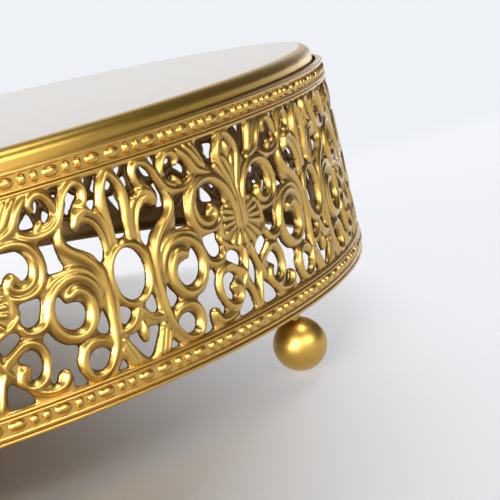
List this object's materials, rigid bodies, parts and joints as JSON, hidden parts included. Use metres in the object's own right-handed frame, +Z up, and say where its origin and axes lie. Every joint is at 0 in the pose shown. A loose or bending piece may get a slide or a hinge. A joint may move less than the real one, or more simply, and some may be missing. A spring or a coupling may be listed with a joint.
{
  "type": "cake stand",
  "caption": "Low round cake stand: flat disc top with a rolled rim, on a pierced scrollwork hoop with ball feet, for raising a cake above a table.",
  "frame": {"origin": "on the table, under the centre of the round top", "axes": "+Z up, from the feet to the cake surface; -Y is the front"},
  "size_m": [0.3, 0.3, 0.0717],
  "materials": {
    "top": "satin gold paint under clear lacquer",
    "banding": "satin gold paint under clear lacquer, darker in the recesses",
    "feet": "satin gold paint under clear lacquer",
    "studs": "plain turned steel"
  },
  "bodies": {
    "root": {"top_disc": "top", "rim_strip": "top", "filigree_band": "banding", "base_ring": "banding", "foot_studs": "studs", "foot_ball_1": "feet", "foot_ball_2": "feet", "foot_ball_3": "feet"}
  },
  "joints": []
}
